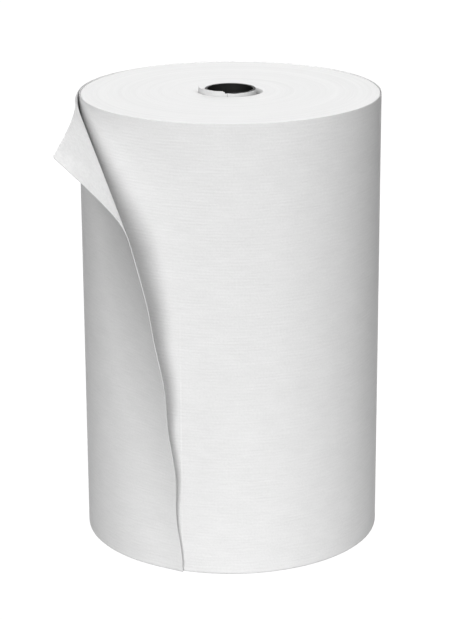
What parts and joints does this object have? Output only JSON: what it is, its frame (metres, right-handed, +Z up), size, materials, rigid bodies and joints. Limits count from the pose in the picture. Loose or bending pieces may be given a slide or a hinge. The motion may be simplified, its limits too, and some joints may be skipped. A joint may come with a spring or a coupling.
{
  "type": "nonwoven cloth roll",
  "caption": "Short fat roll of white ribbed nonwoven cloth wound on a black core, standing on end, its tail lifting off the side and its top corner curled back.",
  "frame": {"origin": "on the roll's axis, where it meets the base", "axes": "+Z up the roll's axis, -Y is the front, the tail lifts off at the front left"},
  "size_m": [0.2591, 0.2742, 0.384],
  "materials": {
    "web": "matt soft white nonwoven",
    "web_face": "matt white nonwoven with fine level ribs",
    "web_ends": "matt white cut layer edges, faint rings",
    "black_board": "matt black paperboard",
    "tape": "thin pale transfer tape"
  },
  "bodies": {
    "roll": {"core_liner": "black_board", "core_board": "black_board", "core_cover_ply": "black_board", "pickup_tape": "tape", "first_wrap": "web", "start_tab": "web", "wound_bulk": "web_ends", "outer_turn": "web_face"},
    "near_strip": {"tail_near_strip": "web_face"},
    "side_strip": {"tail_side_strip": "web_face"},
    "free_end": {"tail_free_end": "web_face"},
    "corner": {"tail_corner": "web_face"}
  },
  "joints": [
    {"name": "tail_peel", "type": "hinge", "parent": "roll", "child": "near_strip", "pos_m": [-0.07175, 0.10248, 0], "axis": [0, 0, -1], "range_deg": [0, 30]},
    {"name": "side_peel", "type": "hinge", "parent": "near_strip", "child": "side_strip", "pos_m": [-0.11342, 0.05289, 0], "axis": [0, 0, -1], "range_deg": [0, 30]},
    {"name": "end_peel", "type": "hinge", "parent": "side_strip", "child": "free_end", "pos_m": [-0.12471, -0.01091, 0], "axis": [0, 0, -1], "range_deg": [0, 30]},
    {"name": "corner_fold", "type": "hinge", "parent": "free_end", "child": "corner", "pos_m": [-0.12403, -0.07161, 0.38], "axis": [0.3565, -0.5222, -0.7747], "range_deg": [-30, 70]}
  ],
  "couplings": [
    {"joint": "side_peel", "follows": "tail_peel", "ratio": 1},
    {"joint": "end_peel", "follows": "tail_peel", "ratio": 1}
  ]
}
